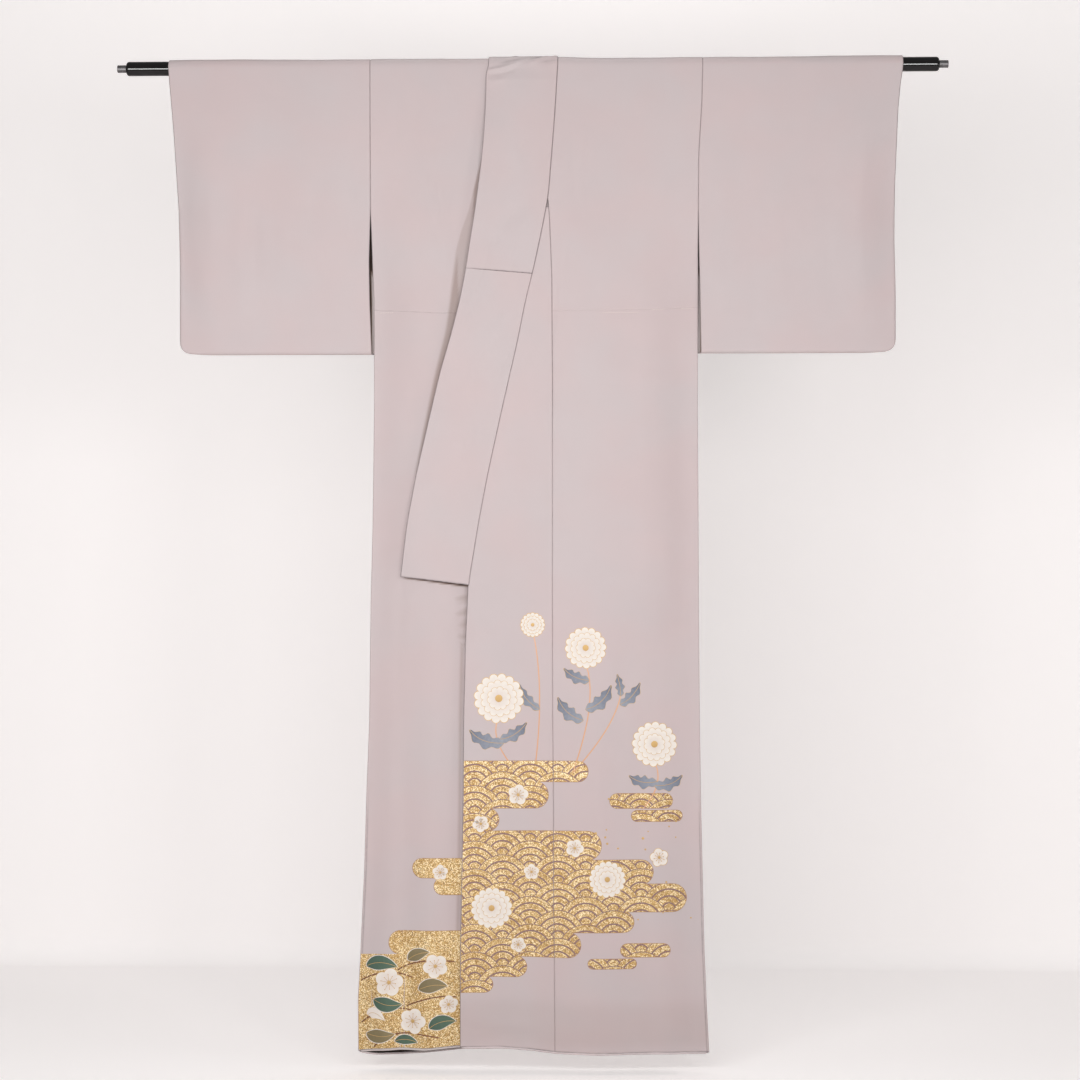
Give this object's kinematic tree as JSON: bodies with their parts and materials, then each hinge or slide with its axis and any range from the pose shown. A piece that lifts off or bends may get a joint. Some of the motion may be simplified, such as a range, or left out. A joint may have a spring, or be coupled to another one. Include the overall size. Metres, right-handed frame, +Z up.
{
  "type": "irotomesode kimono on a hanging rod",
  "caption": "Lined pale grey-mauve silk kimono hung open-sleeved on a black-lacquered rod, with a gold and floral design on its lower fronts.",
  "frame": {"origin": "middle of the hanging rod's axis, at the middle of its length", "axes": "+X along the rod, toward the wearer's left sleeve (the viewer's right); the fronts face -Y; +Z up"},
  "size_m": [1.3856, 0.0475, 1.6629],
  "materials": {
    "silk": "crepe silk, soft sheen",
    "lacquer": "black lacquer, glossy",
    "pin_metal": "satin"
  },
  "bodies": {
    "root": {"body_left_front": "silk", "body_left_back": "silk", "body_right_front": "silk", "body_right_back": "silk", "okumi_left": "silk", "okumi_right": "silk", "collar_left_front": "silk", "collar_left_back": "silk", "collar_right_front": "silk", "collar_right_back": "silk", "over_collar_left_front": "silk", "over_collar_left_back": "silk", "over_collar_right": "silk", "sleeve_left": "silk", "sleeve_right": "silk", "rod": "lacquer", "pin_left": "pin_metal", "pin_right": "pin_metal"}
  },
  "joints": []
}
